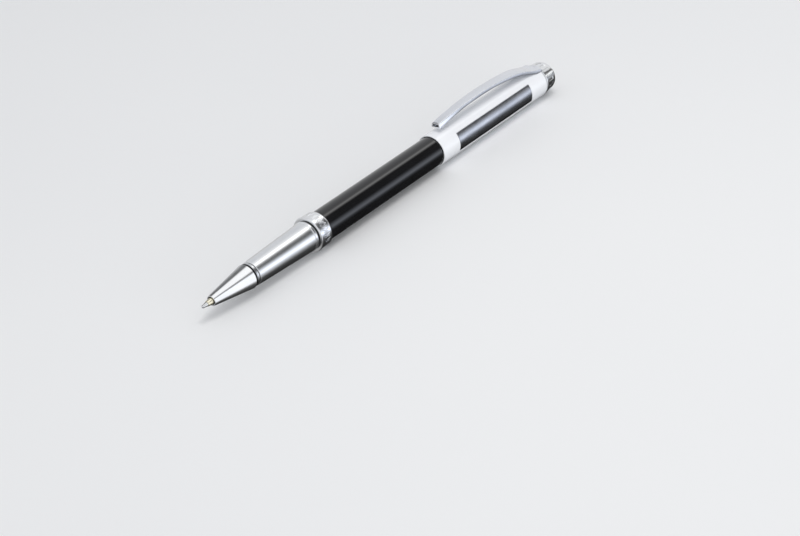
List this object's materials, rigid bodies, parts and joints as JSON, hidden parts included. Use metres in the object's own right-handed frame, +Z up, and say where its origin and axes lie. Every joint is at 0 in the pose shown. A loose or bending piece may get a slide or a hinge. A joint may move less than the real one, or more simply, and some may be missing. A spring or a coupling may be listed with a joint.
{
  "type": "rollerball pen",
  "caption": "Capped rollerball pen lying with its cap posted: tapered grip, screw joint, refill with rolling ball, pull-off cap with sprung clip and inlaid panels.",
  "frame": {"origin": "on the supporting surface, under the middle of the pen's length; the pen lies on the lowest flat of its centre ring with the clip on top", "axes": "+X along the pen from the writing tip to the cap's finial, +Y across the pen to the left when looking along +X, +Z up through the clip"},
  "size_m": [0.1562, 0.0106, 0.0145],
  "materials": {
    "steel": "ground stainless steel",
    "spring_steel": "drawn spring wire",
    "brass": "turned brass",
    "grip_chrome": "polished chrome plate on brass",
    "ring_chrome": "chrome plate on brass, with an engraved band",
    "finial_chrome": "polished chrome plate on brass",
    "clip_chrome": "chrome plate on pressed spring steel",
    "panel_metal": "polished metal inlay",
    "black_lacquer": "gloss black lacquer on a brass tube",
    "white_lacquer": "gloss white lacquer on a brass tube",
    "dark_plastic": "moulded dark plastic",
    "washer_plastic": "moulded black plastic",
    "tail_plastic": "moulded gloss black plastic",
    "liner_plastic": "moulded dark grey plastic",
    "refill_plastic": "translucent moulded plastic",
    "ink_fibre": "ink-soaked bonded fibre"
  },
  "bodies": {
    "barrel": {"barrel_tube": "black_lacquer", "barrel_thread_bush": "brass", "centre_ring": "ring_chrome", "tail_plug": "tail_plastic", "refill_spring": "spring_steel"},
    "washer": {"section_washer": "washer_plastic"},
    "section": {"nose_cone": "grip_chrome", "nose_trim_ring": "grip_chrome", "grip_shell": "grip_chrome", "section_coupling": "brass"},
    "refill": {"refill_point": "steel", "refill_nib_holder": "brass", "refill_front_plug": "dark_plastic", "refill_wick": "ink_fibre", "refill_ink_reservoir": "ink_fibre", "refill_tube": "refill_plastic", "refill_end_plug": "dark_plastic"},
    "ball": {"writing_ball": "steel"},
    "friction_ring": {"cap_friction_ring": "spring_steel"},
    "cap": {"cap_shell": "white_lacquer", "cap_panel_right": "panel_metal", "cap_panel_left": "panel_metal", "cap_liner": "liner_plastic", "cap_end_plug": "brass", "finial_stud": "steel", "finial_base": "finial_chrome", "finial_dome": "finial_chrome", "clip_ring": "clip_chrome"},
    "clip": {"clip_arm": "clip_chrome"}
  },
  "joints": [
    {"name": "section_travel", "type": "slide", "parent": "barrel", "child": "washer", "axis": [-1, 0, 0], "range_m": [0, 0.00451]},
    {"name": "section_turn", "type": "hinge", "parent": "washer", "child": "section", "pos_m": [-0.0355, 0, 0.00527], "axis": [-1, 0, 0], "range_deg": [0, 2160]},
    {"name": "refill_press", "type": "slide", "parent": "section", "child": "refill", "axis": [1, 0, 0], "range_m": [0, 0.001], "stiffness_N_per_m": 600, "deforming": ["refill_spring"]},
    {"name": "ball_roll", "type": "hinge", "parent": "refill", "child": "ball", "pos_m": [-0.0777, 0, 0.00527], "axis": [0, 1, 0], "continuous": true},
    {"name": "cap_pull", "type": "slide", "parent": "barrel", "child": "friction_ring", "axis": [1, 0, 0], "range_m": [0, 0.045]},
    {"name": "cap_turn", "type": "hinge", "parent": "friction_ring", "child": "cap", "pos_m": [0.036, 0, 0.00527], "axis": [1, 0, 0], "continuous": true},
    {"name": "clip_flex", "type": "hinge", "parent": "cap", "child": "clip", "pos_m": [0.0719, 0, 0.0095], "axis": [0, 1, 0], "range_deg": [0, 4], "stiffness_Nm_per_rad": 1}
  ],
  "couplings": [
    {"joint": "section_travel", "follows": "section_turn", "m_per_rad": 0.00011937}
  ]
}
